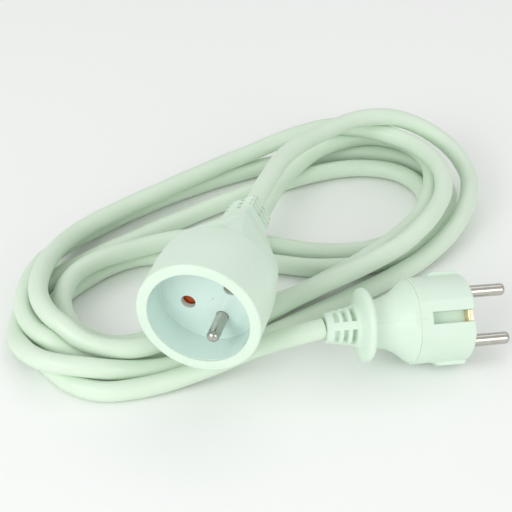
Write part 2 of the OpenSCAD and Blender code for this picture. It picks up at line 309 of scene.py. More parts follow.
def metal(name, colour, shade, rough, drawn_along=None):
    """Plated or bare metal: tarnish and wear in patches, fine scratches and drawing lines."""
    material, tree, shader, place = new_material(name)
    shader.inputs["Metallic"].default_value = 1
    tarnish = remap(tree, noise(tree, place, 0.003, 5, rough=0.65), 0, 1, 0.42, 0.75)
    tree.links.new(between(tree, tarnish, colour, shade), shader.inputs["Base Color"])
    wear = noise(tree, place, 0.0012, 4)
    tree.links.new(remap(tree, wear, rough * 0.7, rough * 1.5), shader.inputs["Roughness"])
    stretch = None
    if drawn_along:
        turn = Vector(drawn_along).to_track_quat("Z", "Y").inverted().to_euler()
        stretch = (tuple(turn), (1, 1, 0.03))
    scratches = noise(tree, place, 0.00025, 3, stretch)
    bump(tree, shader, [(scratches, 0.000006), (noise(tree, place, 0.002, 2), 0.00001)])
    return material


WHITE = plastic("white_pvc", (0.71, 0.85, 0.72), (0.68, 0.82, 0.695), 0.42, 0.00035, 0.000014)
WELL = plastic("well_white", (0.70, 0.85, 0.79), (0.66, 0.82, 0.765), 0.2, 0.0006, 0.000004, gloss_coat=0.5)
SHEATH = sheath("sheath_pvc", (0.715, 0.85, 0.70), (0.67, 0.80, 0.65))
RED = plastic("shutter_red", (0.60, 0.085, 0.02), (0.50, 0.06, 0.015), 0.25, 0.0005, 0.000006, gloss_coat=0.3)
GREY = plastic("carrier_grey", (0.46, 0.48, 0.49), (0.40, 0.42, 0.43), 0.45, 0.0004, 0.00001)
outlet_axis = (0, 1, 0)
plug_axis = tuple(PLUG_LIVE["axis"])
EARTH_NICKEL = metal("nickel_earth", (0.50, 0.49, 0.45), (0.44, 0.43, 0.39), 0.2, outlet_axis)
PIN_NICKEL = metal("nickel_pins", (0.56, 0.54, 0.49), (0.49, 0.47, 0.42), 0.14, plug_axis)
STEEL = metal("spring_steel", (0.60, 0.60, 0.60), (0.45, 0.45, 0.46), 0.3)
BRASS = metal("contact_brass", (0.80, 0.62, 0.32), (0.62, 0.44, 0.20), 0.3)
# The earth clips are nickel-plated strips; their tan colour is painted shade and reflection of the bent
# strip, not the metal's own colour.
STRIP_PAINTED_SHADE = metal("clip_strip_painted_shade", (0.86, 0.70, 0.48), (0.70, 0.54, 0.34), 0.34)
LIVE = plastic("core_brown", (0.20, 0.10, 0.055), (0.15, 0.075, 0.04), 0.45, 0.0003, 0.00001)
NEUTRAL = plastic("core_blue", (0.06, 0.19, 0.52), (0.05, 0.15, 0.42), 0.45, 0.0003, 0.00001)


def striped_core():
    """Green insulation with a yellow stripe down each side."""
    material = plastic("core_green", (0.18, 0.50, 0.08), (0.14, 0.42, 0.06), 0.45, 0.0003, 0.00001)
    tree = material.node_tree
    shader = tree.nodes["Principled BSDF"]
    normal = tree.nodes.new("ShaderNodeTexCoord").outputs["Normal"]
    split = tree.nodes.new("ShaderNodeSeparateXYZ")
    tree.links.new(normal, split.inputs["Vector"])
    stripe = tree.nodes.new("ShaderNodeMath")
    stripe.operation = "ABSOLUTE"
    tree.links.new(split.outputs["X"], stripe.inputs[0])
    edge = remap(tree, stripe.outputs[0], 0, 1, 0.62, 0.68)
    mix = tree.nodes.new("ShaderNodeMix")
    mix.data_type = "RGBA"
    mix.inputs["B"].default_value = (0.80, 0.66, 0.05, 1)
    tree.links.new(edge, mix.inputs["Factor"])
    tree.links.new(shader.inputs["Base Color"].links[0].from_socket, mix.inputs["A"])
    tree.links.new(mix.outputs["Result"], shader.inputs["Base Color"])
    return material


EARTH = striped_core()


# ---------- camera, light and floor ----------


def camera():
    """The photo's view."""
    place = Vector((0.1279, -0.4025, 0.3247))
    aim = Vector((-0.0046, 0.0821, -0.0403))
    data = bpy.data.cameras.new("camera")
    data.sensor_width = 36
    data.lens = 101.5
    eye = bpy.data.objects.new("camera", data)
    eye.location = place
    eye.rotation_euler = (aim - place).to_track_quat("-Z", "Y").to_euler()
    bpy.context.scene.collection.objects.link(eye)
    bpy.context.scene.camera = eye


def softbox(name, place, aim, size, watts):
    data = bpy.data.lights.new(name, "AREA")
    data.shape = "RECTANGLE"
    data.size, data.size_y = size
    data.energy = watts
    lamp = bpy.data.objects.new(name, data)
    lamp.location = place
    lamp.rotation_euler = (Vector(aim) - Vector(place)).to_track_quat("-Z", "Y").to_euler()
    bpy.context.scene.collection.objects.link(lamp)


def studio():
    """Three soft lamps in a white surround."""
    middle = (0, 0.05, 0)
    softbox("key", (-0.45, -0.85, 0.55), middle, (0.8, 0.6), 5)
    softbox("fill", (0.85, -0.5, 0.4), middle, (0.6, 0.6), 2)
    softbox("rim", (0.1, 0.6, 0.95), middle, (0.9, 0.5), 1)
    world = bpy.data.worlds.new("world")
    world.use_nodes = True
    background = world.node_tree.nodes["Background"]
    background.inputs["Color"].default_value = (1, 1, 1, 1)
    background.inputs["Strength"].default_value = 0.68
    bpy.context.scene.world = world
    bpy.context.scene.view_settings.view_transform = "Standard"


def floor():
    """A wide floor just under what lies on the surface."""
    half, gap = 3, 0.0002
    mesh = bpy.data.meshes.new("floor")
    corners = [(-half, -half), (half, -half), (half, half), (-half, half)]
    mesh.from_pydata([(x, y, surface_z - gap) for x, y in corners], [], [(0, 1, 2, 3)])
    plane = bpy.data.objects.new("floor", mesh)
    bpy.context.scene.collection.objects.link(plane)
    material, tree, shader, place = new_material("floor")
    tone = between(tree, noise(tree, place, 0.4, 2), (0.93, 0.95, 0.93), (0.95, 0.96, 0.95))
    tree.links.new(tone, shader.inputs["Base Color"])
    shader.inputs["Roughness"].default_value = 0.6
    mesh.materials.append(material)


camera()
studio()
floor()


# ---------- cord ----------

# x, y and height above the surface, in metres, from the outlet to the plug
ROUTE = [
    # over the whole coil and round its right end
    (0, 0.058, 0.0405), (0, 0.076, 0.040), (0.002, 0.111, 0.037), (0.011, 0.136, 0.033),
    (0.024, 0.157, 0.031), (0.035, 0.167, 0.028), (0.050, 0.174, 0.021), (0.065, 0.169, 0.015),
    (0.075, 0.156, 0.012),
    (0.079, 0.136, 0.012), (0.076, 0.112, 0.009), (0.065, 0.090, 0.005), (0.044, 0.062, 0.004),
    (0.021, 0.033, 0.004), (0.005, 0.014, 0.004),
    # first loop, outermost on the left
    (-0.014, 0, 0.004), (-0.025, -0.007, 0.004), (-0.041, -0.019, 0.012), (-0.060, -0.021, 0.012),
    (-0.074, -0.012, 0.009), (-0.082, 0.003, 0.005), (-0.085, 0.020, 0.004), (-0.080, 0.040, 0.004),
    (-0.057, 0.075, 0.004), (-0.022, 0.120, 0.004), (-0.004, 0.138, 0.004), (0.014, 0.153, 0.004),
    (0.036, 0.160, 0.004), (0.053, 0.153, 0.004), (0.061, 0.137, 0.004), (0.060, 0.117, 0.004),
    (0.048, 0.098, 0.004), (0.028, 0.087, 0.004),
    # second loop, innermost on the left
    (-0.011, 0.085, 0.005), (-0.036, 0.069, 0.012), (-0.052, 0.057, 0.012), (-0.065, 0.045, 0.012),
    (-0.071, 0.031, 0.012), (-0.069, 0.017, 0.011), (-0.062, 0.007, 0.008), (-0.050, 0.002, 0.005),
    (-0.037, 0.004, 0.004), (-0.014, 0.034, 0.004), (-0.007, 0.076, 0.012), (-0.004, 0.130, 0.012),
    (0.008, 0.160, 0.012), (0.026, 0.174, 0.012), (0.044, 0.172, 0.012), (0.058, 0.156, 0.012),
    (0.062, 0.130, 0.012), (0.058, 0.105, 0.012), (0.045, 0.078, 0.012), (0.026, 0.061, 0.005),
    (0.014, 0.048, 0.004),
    # third loop, on top on the left
    (-0.005, 0.025, 0.012), (-0.025, -0.003, 0.012), (-0.040, -0.008, 0.012), (-0.055, -0.007, 0.015),
    (-0.070, 0.002, 0.020), (-0.078, 0.020, 0.019), (-0.079, 0.057, 0.014), (-0.058, 0.097, 0.012),
    (-0.024, 0.144, 0.012), (-0.006, 0.160, 0.016), (0.012, 0.166, 0.020), (0.044, 0.162, 0.020),
    (0.062, 0.147, 0.020), (0.069, 0.124, 0.020), (0.066, 0.100, 0.020), (0.056, 0.078, 0.018),
    (0.023, 0.045, 0.012),
    # fourth loop
    (0.006, 0.030, 0.006), (-0.019, 0.008, 0.004), (-0.032, -0.001, 0.004), (-0.048, -0.007, 0.004),
    (-0.061, -0.009, 0.011), (-0.072, -0.004, 0.012), (-0.081, 0.008, 0.012), (-0.086, 0.036, 0.011),
    (-0.084, 0.062, 0.005), (-0.060, 0.103, 0.004), (-0.024, 0.142, 0.004), (0.002, 0.161, 0.004),
    (0.030, 0.173, 0.004), (0.055, 0.166, 0.004), (0.070, 0.144, 0.004), (0.069, 0.118, 0.004),
    (0.056, 0.092, 0.004), (0.028, 0.076, 0.004),
    # fifth loop, on the surface, and up to the plug
    (-0.011, 0.073, 0.004), (-0.038, 0.068, 0.004), (-0.054, 0.063, 0.004), (-0.073, 0.031, 0.004),
    (-0.075, 0.014, 0.004), (-0.068, -0.005, 0.004), (-0.054, -0.020, 0.004), (-0.037, -0.024, 0.004),
    (-0.016, -0.012, 0.004), (0.001, 0, 0.007), (0.008, 0.005, 0.0095), (0.018, 0.009, 0.014),
    (0.026, 0.0105, 0.018), (0.033, 0.0115, 0.0205),
]  # fmt: skip
PLUG_LEN = 55.6


def through_points(points, spacing):
    """Points about spacing apart on a smooth line through points (centripetal Catmull-Rom)."""
    ends = [2 * points[0] - points[1], *points, 2 * points[-1] - points[-2]]
    line = []
    for a, b, c, d in zip(ends, ends[1:], ends[2:], ends[3:]):
        ta = np.linalg.norm(b - a) ** 0.5
        tb = ta + np.linalg.norm(c - b) ** 0.5
        tc = tb + np.linalg.norm(d - c) ** 0.5
        count = max(2, round(np.linalg.norm(c - b) / spacing))
        for t in np.linspace(ta, tb, count, endpoint=False):
            ab = a + (b - a) * t / ta
            bc = b + (c - b) * (t - ta) / (tb - ta)
            cd = c + (d - c) * (t - tb) / (tc - tb)
            abc = ab + (bc - ab) * t / tb
            bcd = bc + (cd - bc) * (t - ta) / (tc - ta)
            line.append(abc + (bcd - abc) * (t - ta) / (tb - ta))
    return np.array([*line, points[-1]])


def settled(line, spacing):
    """The line with its bends eased and its strands pushed apart, so that they lie on one another."""
    home, line = line.copy(), line.copy()
    held = 4  # points at either end that stay
    free = slice(held, -held)
    radius = CORD_D * MM / 2
    close = 1.6 * CORD_D * MM
    skip = round(3.5 * CORD_D * MM / spacing)  # points along the cord that are too near to count as crossing
    ease_rounds, all_rounds, search_every = 90, 150, 10
    straighten, go_home, part = 0.35, 0.035, 0.3
    for turn in range(all_rounds):
        if turn < ease_rounds:
            middle = (line[:-2] + line[2:]) / 2
            line[free] += straighten * (middle[held - 1 : 1 - held] - line[free])
            line[free] += go_home * (home[free] - line[free])
        if turn % search_every == 0:
            tree = kdtree.KDTree(len(line))
            for i, p in enumerate(line):
                tree.insert(p, i)
            tree.balance()
            found = [(i, j) for i, p in enumerate(line) for _, j, _ in tree.find_range(p, close)]
            pairs = np.array([(i, j) for i, j in found if j > i + skip])
        gap = line[pairs[:, 0]] - line[pairs[:, 1]]
        apart = np.linalg.norm(gap, axis=1)
        deep = np.clip(CORD_D * MM * 1.005 - apart, 0, None)
        push = gap / np.maximum(apart, 1e-6)[:, None] * (deep * part)[:, None]
        move = np.zeros_like(line)
        touching = np.zeros(len(line))
        for column, sign in ((0, 1), (1, -1)):
            np.add.at(move, pairs[:, column], sign * push)
            np.add.at(touching, pairs[:, column], deep > 0)
        move /= np.maximum(touching / 2, 1)[:, None]
        move[1:-1] = (move[:-2] + 2 * move[1:-1] + move[2:]) / 4
        line[free] += move[free]
        line[:, 2] = np.maximum(line[:, 2], surface_z + radius)
    return line


def cord_line():
    """The cord's centreline in the row frame, about 1.6 mm between points."""
    tail = ON_PLUG @ Vector((0, 0, -PLUG_LEN))
    points = [np.array((x, y, h + surface_z)) for x, y, h in ROUTE]
    points.append(np.array(tail))
    coarse = 0.0032
    return through_points(list(settled(through_points(points, coarse), coarse)), coarse / 2)


def tube(path, radius, sides, lobes, pitch):
    """A closed tube along path, in metres, with three faint helical lobes where the cores lie."""
    cores = 3
    shape = Shape()
    along = np.gradient(path, axis=0)
    along /= np.linalg.norm(along, axis=1)[:, None]
    side = np.cross(along[0], (0, 0, 1))
    length = np.concatenate([[0], np.cumsum(np.linalg.norm(np.diff(path, axis=0), axis=1))])
    turns = [2 * math.pi * k / sides for k in range(sides)]
    rings = []
    for centre, forward, run in zip(path, along, length):
        side = side - forward * (side @ forward)
        side /= np.linalg.norm(side)
        up = np.cross(forward, side)
        twist = 2 * math.pi * run / pitch
        reach = [radius - lobes * (1 - math.cos(cores * (a - twist))) / 2 for a in turns]
        outward = [math.cos(a) * side + math.sin(a) * up for a in turns]
        rings.append(shape.ring(centre + r * out for r, out in zip(reach, outward)))
    shape.skin(rings)
    shape.faces += [tuple(rings[0]), tuple(reversed(rings[-1]))]
    return shape


def cord():
    """The sheath, and the points that it follows."""
    path = cord_line()
    shape = tube(path, CORD_D * MM / 2, 28, lobes=0.00012, pitch=0.075)
    piece = finish_piece("cord_sheath", shape, Matrix(), SHEATH, ["cord"], merge=1e-7)
    return piece, path


cord_piece, cord_path = cord()


# ---------- outlet ----------

WELL_R = 19.5
WELL_DEPTH = 14.5
FLOOR_T = 2.6
WELL_FILLET = 0.7
POLE_HOLE_R = 2.75
EARTH_SEAT_R = 2.45
INSERT_R = 20.8
INSERT_GAP = 0.05
RIM_R = 23.75
RIM_LIP = 1.2
BACK_START = 12.5  # where the round cup ends
SQUARE_BACK = 31.5
SQUARE_HALF = 13.4
NECK_FRONT = 46.5
NECK_HALF = 6.9
NECK_BACK = 58
NECK_END_HALF = 6.2
NECK_ROUND = 0.5
BORE_R = CORD_D / 2 + 0.02
# inside the shell: room for the cup and carrier, then two steps down to the cord's bore
CARRIER_BACK = 13.05
MIDDLE_R = 14.2
MIDDLE_BACK = 24
CORES_R = 11
EASE = 0.5  # rounding of the cup's back edge
ROUND_SIDE = [(-14.5, 23.75), (2, 23.55), (9, 23.1), (12.5, 22.6)]
CORNER_SIDE = [(12.5, 22.1), (22, 20.9), (31.5, 19.2)]
FLAT_SIDE = [(12.5, 17.9), (31.5, 13.4)]
NECK_ROWS = [49.5, 52.3, 55.1]
SLOT_T = 1.3
SLOT_DEPTH = 1.1
SLOT_EDGES = (0.12, 0.77)  # across each half face, as a share of its half width
SHARE_SOFT = 0.015
EDGE_SOFT = 0.12  # half the width of a slot's edge along the axis
PANEL_EDGE = (0.86, 0.9)  # the pyramid's sunk panels, across each half face
PANEL_FRONT, PANEL_BACK = (32.6, 33.1), (45.2, 45.7)
PANEL_DEPTH = 0.4
RIDGE_ROWS = (27.8, 24.9, 22, 19.1)
RIDGE_HALF = 11.5
RIDGE_WIDE = 0.55  # half the ridge's width
RIDGE_HIGH = 0.45
RIDGE_SUNK = 0.05
HOLE_SIDES = 56


def square_reach(angle, half, corner):
    """Distance to the edge of a square with rounded corners, in the direction angle."""
    a = abs((angle + math.pi / 4) % (math.pi / 2) - math.pi / 4)
    flat = half / math.cos(a)
    if half * math.tan(a) <= half - corner:
        return flat
    centre = half - corner
    along = centre * (math.cos(a) + math.sin(a))
    across = centre * (math.cos(a) - math.sin(a))
    return min(flat, along + math.sqrt(max(corner * corner - across * across, 0)))


def across_share(angle):
    """Place across the square's face, from -1 to 1, in the direction angle."""
    return math.tan((angle + math.pi / 4) % (math.pi / 2) - math.pi / 4)


def outlet_reach(angle, z):
    """Outside of the overmoulded body: round cup, square back with cut corners, pyramid and slotted neck."""
    if z <= BACK_START:
        ease = max(0, z - BACK_START + EASE) / EASE
        return through(ROUND_SIDE, z) - EASE * (1 - math.sqrt(1 - ease * ease))
    if z <= SQUARE_BACK:
        return smooth_min(through(CORNER_SIDE, z), square_reach(angle, through(FLAT_SIDE, z), 0.5), 0.2)
    if z <= NECK_FRONT:
        t = (z - SQUARE_BACK) / (NECK_FRONT - SQUARE_BACK)
        edge = square_reach(angle, SQUARE_HALF + (NECK_HALF - SQUARE_HALF) * t, 0.9)
        u = abs(across_share(angle))
        inside = (1 - step(*PANEL_EDGE, u)) * step(*PANEL_FRONT, z) * (1 - step(*PANEL_BACK, z))
        return edge - PANEL_DEPTH * inside
    t = (z - NECK_FRONT) / (NECK_BACK - NECK_FRONT)
    half = NECK_HALF + (NECK_END_HALF - NECK_HALF) * t
    edge = square_reach(angle, half, 0.8)
    u = abs(across_share(angle))
    slot_floor = NECK_END_HALF - SLOT_DEPTH
    across = soft_step(SLOT_EDGES[0], SHARE_SOFT, u) * (1 - soft_step(SLOT_EDGES[1], SHARE_SOFT, u))
    cut = max(soft_step(row, EDGE_SOFT, z) * (1 - soft_step(row + SLOT_T, EDGE_SOFT, z)) for row in NECK_ROWS)
    return edge - (edge - slot_floor * math.hypot(1, u)) * across * cut


def outlet_angles():
    """Directions round the body, closer together where the panels and the neck's slots have edges."""
    edges = [*SLOT_EDGES, sum(PANEL_EDGE) / 2]
    extra = [e + d for e in edges for d in (-0.022, -0.014, 0, 0.014, 0.022)]
    half_face = sorted(set(spread(0, 1, 27) + extra))
    shares = [-u for u in reversed(half_face[1:])] + half_face[:-1]
    return [face * math.pi / 2 + math.atan(u) for face in range(4) for u in shares]


def outlet_heights():
    """Heights of the rings from the rim's outer edge to the neck's end."""
    rows = spread(-13.6, 12, 14) + spread(BACK_START - EASE, BACK_START, 7) + [BACK_START + 0.02]
    rows += spread(13, 31.1, 40) + [31.35, SQUARE_BACK, 31.65, 32, 32.5]
    rows += spread(*PANEL_FRONT, 4) + spread(34, 45, 18) + spread(*PANEL_BACK, 4)
    rows += [46.2, 46.45, 46.6, 47, 48, 49]
    for row in NECK_ROWS:
        for edge in (row, row + SLOT_T):
            rows += [edge + d for d in (-0.14, -0.06, 0, 0.06, 0.14)]
        rows += [row + SLOT_T / 2, row + SLOT_T + 0.8]
    return rows + [57.2]


def grip_ridges(shape):
    """Rounded ridges across the two flats above and below the pole line."""
    count = 30
    for face in (1, 3):
        for z in RIDGE_ROWS:
            reach = RIDGE_HALF / through(FLAT_SIDE, z)
            rings = []
            for k, u in enumerate(spread(-reach, reach, count)):
                angle = face * math.pi / 2 + math.atan(u)
                swell = math.sin(math.pi * min(k + 0.5, count - 0.5 - k, 2) / 4)
                loop = []
                for a in [math.radians(30 * m) for m in range(12)]:
                    along = z + RIDGE_WIDE * math.sin(a) * swell
                    r = outlet_reach(angle, along) + RIDGE_HIGH * math.cos(a) * swell - RIDGE_SUNK
                    loop.append((r * math.cos(angle), r * math.sin(angle), along))
                rings.append(shape.ring(loop))
            shape.skin(rings)
            shape.faces += [tuple(rings[0]), tuple(reversed(rings[-1]))]


def outlet_shell():
    """Overmoulded body, outside and inside in one skin, with its ridges."""
    shape = Shape()
    angles = outlet_angles()
    front, bore = -WELL_DEPTH, INSERT_R + INSERT_GAP

    def ring(z, reach):
        radii = [reach(a) if callable(reach) else reach for a in angles]
        return shape.ring((r * math.cos(a), r * math.sin(a), z) for r, a in zip(radii, angles))

    rings = [ring(front + along, RIM_R - short) for along, short in round_steps(0.8, 6)]
    rings += [ring(z, lambda a, z=z: outlet_reach(a, z)) for z in outlet_heights()]
    edge = NECK_BACK - NECK_ROUND
    for along, short in reversed(round_steps(NECK_ROUND, 5)):
        rings.append(ring(NECK_BACK - along, lambda a, short=short: outlet_reach(a, edge) - short))
    inside = [
        (NECK_BACK, BORE_R + 0.35), (NECK_BACK - 0.35, BORE_R), (SQUARE_BACK, BORE_R), (SQUARE_BACK, CORES_R),
        (MIDDLE_BACK, CORES_R), (MIDDLE_BACK, MIDDLE_R), (CARRIER_BACK, MIDDLE_R), (CARRIER_BACK, bore),
        (front + RIM_LIP, bore), (front + RIM_LIP, WELL_R),
    ]  # fmt: skip
    inside += [(front + along, WELL_R + short) for along, short in reversed(round_steps(0.35, 4))]
    inside += [(front, WELL_R + 1.2), (front, RIM_R - 2)]
    rings += [ring(z, r) for z, r in inside]
    shape.skin(rings, closed=True)
    grip_ridges(shape)
    return finish_piece("outlet_shell", shape, ON_OUTLET, WHITE, ["socket_shell"], sharp_deg=32)


def hole(shape, centre, radius, z0, z1, lead):
    """Walls of a round hole from z0 to z1 with a rounded lead at z0; returns its first and last rings."""
    sign = 1 if z1 > z0 else -1
    stations = [(z0 + sign * along, radius + short) for along, short in round_steps(lead, 5)]
    rings = shape.revolve([*stations, (z1, radius)], HOLE_SIDES, centre)
    shape.skin(rings)
    return rings[0], rings[-1]


def outlet_well():
    """Glossy cup with the two pole holes and the earth pin's seat."""
    shape = Shape()
    top, ease = -WELL_DEPTH + RIM_LIP, 0.3
    stations = [(FLOOR_T, INSERT_R - ease), (FLOOR_T - ease, INSERT_R)]
    stations += [(top + ease, INSERT_R), (top, INSERT_R - ease), (top, WELL_R + ease), (top + ease, WELL_R)]
    stations += [(z, WELL_R) for z in spread(top + 1, -WELL_FILLET - 0.2, 8)]
    for a in spread(0, math.pi / 2, 7):
        rise, reach = WELL_FILLET * math.sin(a), WELL_FILLET * math.cos(a)
        stations.append((-WELL_FILLET + rise, WELL_R - WELL_FILLET + reach))
    rings = shape.revolve(stations, 160)
    shape.skin(rings)
    places = [((side * POLE, 0), POLE_HOLE_R, 0.35) for side in (-1, 1)]
    places.append(((0, EARTH_OFFSET), EARTH_SEAT_R, 0.15))
    ends = [hole(shape, centre, radius, 0, FLOOR_T, lead) for centre, radius, lead in places]
    shape.cap(rings[-1], *[first for first, last in ends])
    shape.cap(rings[0], *[last for first, last in ends])
    return finish_piece("outlet_well", shape, ON_OUTLET, WELL, ["socket_insert"])


def gate_mark():
    """Small gate mark, 0.06 mm high, by the middle of the well floor."""
    shape = Shape()
    stations = [(-0.03, 0.32), (-0.06, 0.26), (-0.06, 0.12), (-0.02, 0.06)]
    rings = shape.revolve(stations, 24, centre=(0.6, 1.6))
    shape.skin(rings)
    shape.cap(rings[0])
    shape.cap(rings[-1])
    return finish_piece("outlet_gate_mark", shape, ON_OUTLET, GREY)


def round_pin(shape, centre, base, length, nose, blunt):
    """A pin along +Z from base to length with an end domed over nose mm; blunt is 2 for an ellipse."""
    ease = 0.25
    stations = [(base, PIN_R - ease), (base + ease, PIN_R)]
    stations += [(z, PIN_R) for z in spread(base + 1, length - nose, 8)]
    for a in spread(0, math.pi / 2, 12)[1:-1]:
        rise, reach = math.sin(a) ** (2 / blunt), math.cos(a) ** (2 / blunt)
        stations.append((length - nose + nose * rise, PIN_R * reach))
    rings = shape.revolve(stations, 48, centre)
    tip = shape.ring([(centre[0], centre[1], length)])[0]
    shape.skin(rings)
    shape.cap(rings[0])
    last = rings[-1]
    shape.faces += [(last[k], last[(k + 1) % len(last)], tip) for k in range(len(last))]


def outlet_earth_pin():
    """The pin points out of the well, so it is turned over."""
    shape = Shape()
    place = ON_OUTLET @ Matrix.Rotation(math.pi, 4, "X")
    round_pin(shape, (0, -EARTH_OFFSET), base=-15, length=14, nose=2.2, blunt=2)
    return finish_piece("outlet_earth_pin", shape, place, EARTH_NICKEL, ["socket_earth_pin"])


outlet_shell()
outlet_well()
gate_mark()
outlet_earth_pin()


# ---------- plug ----------

FRONT_R = 16.8
FLAT_HALF = 15.4
FRONT_LEN = 22
RIB_REACH = 18.1
RIB_HALF = 2.5
SLOT_HALF = 2.3
NEAR_SLOT_FLOOR = 10.8
FAR_SLOT_FLOOR = 13.9
SLOT_LEN = 17
NOSE = 0.9
# height along the front, share of the guide rib's full reach
RIB_FRONT = ((-0.92, 0.5), (-1.0, 0.8), (-1.2, 0.96), (-1.5, 1))
RIB_BACK = ((-11.3, 0.94), (-11.9, 0.75), (-12.6, 0.4), (-13.2, 0.12), (-13.5, 0))
EARTH_HOLE_R = 2.65
SLEEVE_R = 3.22
SLEEVE_FRONT, SLEEVE_BACK = -0.8, -17.6
CAVITY_HALF = 12.6  # room for the cores behind the front
CAVITY_LOW, CAVITY_HIGH = -9, 6
CAVITY_FLOOR = -18.2
SPACE_BACK, SPACE_R = 25, 11  # room for the cores in the grip
CLAMP_BACK, CLAMP_R = 30, 7.5
CLIP_W = 4.2
WAIST_SIDE = [
    (22, 16.4), (24, 15.3), (26, 13.6), (28, 12.1), (30, 10.9), (32, 10.1), (34.5, 9.4), (36.9, 9.25),
]  # fmt: skip
WAIST_END = WAIST_SIDE[-1][0]
COLLAR_SIDE = [
    (36.9, 9.25), (37.5, 9.7), (37.9, 11), (38.2, 12.6), (38.7, 13.7), (39.3, 14.2), (39.9, 14.3),
    (40.6, 14.1), (41.3, 13.4), (42, 12), (42.5, 10.4), (42.9, 9.1), (43.4, 8.3), (44, 7.9), (55.6, 5.7),
]  # fmt: skip
RELIEF_ROWS = [45.4, 48.7, 52]
RELIEF_SLOT_T = 1.8
RELIEF_CORE_R = 4.7
SPINE_HALF = 1.6
LINE_HALF = 0.2  # parting line of the mould
LINE_DEPTH = 0.12


def rounded(corners, steps=4):
    """Outline through (x, y, radius) corners with each corner rounded; a radius of 0 keeps the point."""
    outline = []
    count = len(corners)
    for k, (x, y, radius) in enumerate(corners):
        if radius == 0:
            outline.append((x, y))
            continue
        here = Vector((x, y))
        before = Vector(corners[k - 1][:2]) - here
        after = Vector(corners[(k + 1) % count][:2]) - here
        room = 0.48 * min(before.length, after.length)
        if room < 1e-4:
            outline += [(x, y)] * (steps + 1)
            continue
        reach = min(radius, room)
        a, b = here + before.normalized() * reach, here + after.normalized() * reach
        for t in spread(0, 1, steps + 1):
            p = a * (1 - t) ** 2 + here * 2 * t * (1 - t) + b * t * t
            outline.append((p.x, p.y))
    return outline


def front_outline(inset, rib, slots, line):
    """Outline of the plug's front: two round ends with a guide rib, two flats with a slot or parting line."""
    radius, flat = FRONT_R - inset, FLAT_HALF - inset
    corner_turn = math.asin(flat / radius)
    rib_turn = math.asin(RIB_HALF / radius)
    arc = spread(rib_turn, corner_turn, 18)
    rib_x = radius * math.cos(rib_turn) + (RIB_REACH - radius * math.cos(rib_turn)) * rib
    near_y = flat + (NEAR_SLOT_FLOOR - flat) * slots
    far_y = flat + (FAR_SLOT_FLOOR - flat) * slots
    least = 1e-3  # a corner radius of 0 would give this outline fewer points than the others
    right_up = [(rib_x, RIB_HALF, max(0.6 * rib, least))]
    right_up += [(radius * math.cos(arc[0]), RIB_HALF, max(0.3 * rib, least))]
    right_up += [(radius * math.cos(a), radius * math.sin(a), 0) for a in arc[1:-1]]
    right_up += [(radius * math.cos(corner_turn), flat, 0.8)]

    def quarter(y):
        """From the rib to the middle of a flat whose slot has its floor at y."""
        slot = [(SLOT_HALF, flat, 0.35), (SLOT_HALF, y, 0.3)]
        return right_up + slot + [(LINE_HALF, y, 0), (LINE_HALF / 2, y - LINE_DEPTH * line, 0)]

    up, low = quarter(far_y), quarter(near_y)
    outline = up + [(-x, y, r) for x, y, r in reversed(up)]
    outline += [(-x, -y, r) for x, y, r in low] + [(x, -y, r) for x, y, r in reversed(low)]
    return rounded(outline)


def plug_front():
    """Front of the plug, with its holes and the cavity behind them."""
    shape = Shape()

    def ring(z, inset=0, rib=0, slots=1):
        return shape.ring((x, y, z) for x, y in front_outline(inset, rib, slots, 1 - slots))

    turns = spread(math.pi / 2, 0, 9)
    body = [ring(-NOSE * (1 - math.sin(a)), inset=NOSE * (1 - math.cos(a))) for a in turns]
    face = body[0]
    body += [ring(z, rib=rib) for z, rib in RIB_FRONT]
    body += [ring(z, rib=1) for z in spread(-3, -10.8, 6)]
    body += [ring(z, rib=rib) for z, rib in RIB_BACK]
    body += [ring(-15), ring(-SLOT_LEN + 0.1), ring(-SLOT_LEN, slots=0.97)]
    body += [ring(-SLOT_LEN - 0.02, slots=0.04), ring(-SLOT_LEN - 0.12, slots=0)]
    body += [ring(z, slots=0) for z in spread(-18, -FRONT_LEN + 0.5, 4)]
    for along, short in reversed(round_steps(0.35, 4)):
        body.append(ring(-FRONT_LEN + along, inset=short, slots=0))
    shape.skin(body)
    pins = [hole(shape, (side * POLE, 0), PIN_R + 0.06, 0, -6, 0.25) for side in (-1, 1)]
    for first, last in pins:
        shape.cap(last)
    earth_walls = [(-along, EARTH_HOLE_R + short) for along, short in round_steps(0.35, 5)]
    earth_walls += [(SLEEVE_FRONT, EARTH_HOLE_R), (SLEEVE_FRONT, SLEEVE_R), (SLEEVE_BACK, SLEEVE_R)]
    earth = shape.revolve(earth_walls, HOLE_SIDES, (0, EARTH_OFFSET))
    shape.skin(earth)
    shape.cap(earth[-1])
    shape.cap(face, pins[0][0], pins[1][0], earth[0])
    right = [(CAVITY_HALF, CAVITY_LOW, 1), (CAVITY_HALF, CAVITY_HIGH, 1)]
    cavity = rounded(right + [(-x, y, r) for x, y, r in reversed(right)])
    mouth, deep = [shape.ring((x, y, z) for x, y in cavity) for z in (-FRONT_LEN, CAVITY_FLOOR)]
    shape.skin([mouth, deep])
    shape.cap(deep)
    shape.cap(body[-1], mouth)
    return finish_piece("plug_front", shape, ON_PLUG, WHITE, ["plug_front"], sharp_deg=38)


def grip_columns():
    """Columns round the grip: (quarter, "spine", mm across it) or (quarter, "side", share of the way on)."""
    across = [0, LINE_HALF / 2, LINE_HALF, 0.7, 1.2, SPINE_HALF - 0.12, SPINE_HALF]
    shares = [0.02, 0.05, *spread(0.12, 0.88, 13), 0.95, 0.98]
    columns = []
    for quarter in range(4):
        columns += [(quarter, "spine", place) for place in across]
        columns += [(quarter, "side", share) for share in shares]
        columns += [(quarter + 1, "spine", -place) for place in reversed(across[1:])]
    return columns


